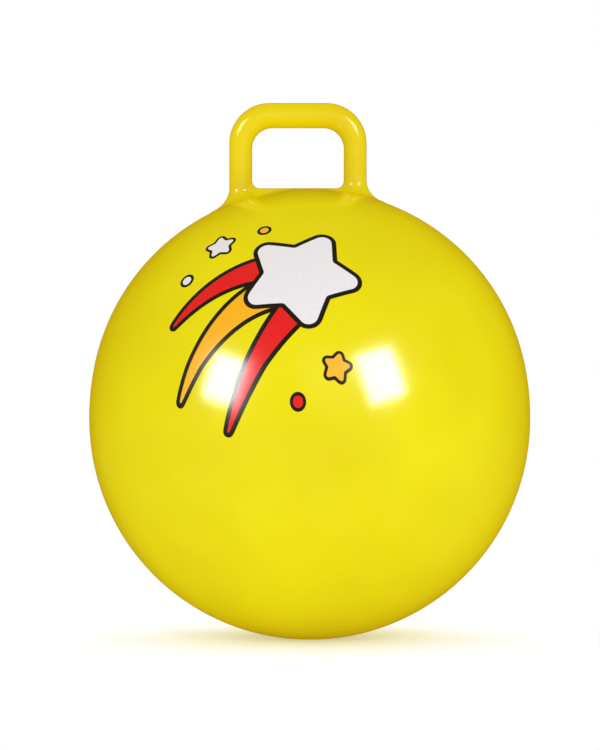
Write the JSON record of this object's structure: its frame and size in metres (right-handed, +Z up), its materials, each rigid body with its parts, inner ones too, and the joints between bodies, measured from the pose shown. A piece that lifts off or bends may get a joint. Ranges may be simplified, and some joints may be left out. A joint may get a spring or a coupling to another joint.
{
  "type": "hopper ball",
  "caption": "Inflated vinyl hopper ball with a square loop handle on its crown, for a child to sit on, hold and bounce, and a push-in air valve low on the back.",
  "frame": {"origin": "on the floor, at the centre of the flat patch on which the ball stands, under the ball's axis", "axes": "+Z up through the crown, -Y towards the printed front, +X to the right of someone who looks at the front, with the handle's bar along X and the valve at the back on +Y"},
  "size_m": [0.45, 0.4498, 0.546],
  "materials": {
    "vinyl_ball": "gloss",
    "vinyl_handle": "gloss",
    "vinyl_valve": "satin",
    "plug_plastic": "gloss",
    "print_ink_black": "gloss",
    "print_ink_white": "gloss",
    "print_ink_orange": "gloss",
    "print_ink_red": "gloss"
  },
  "bodies": {
    "ball": {"ball_skin": "vinyl_ball", "handle_loop": "vinyl_handle", "valve_seat": "vinyl_valve"},
    "plug": {"valve_plug": "plug_plastic"}
  },
  "joints": [
    {"name": "valve_plug_pull", "type": "slide", "parent": "ball", "child": "plug", "axis": [0, 0.9397, -0.342], "range_m": [0, 0.026]}
  ]
}
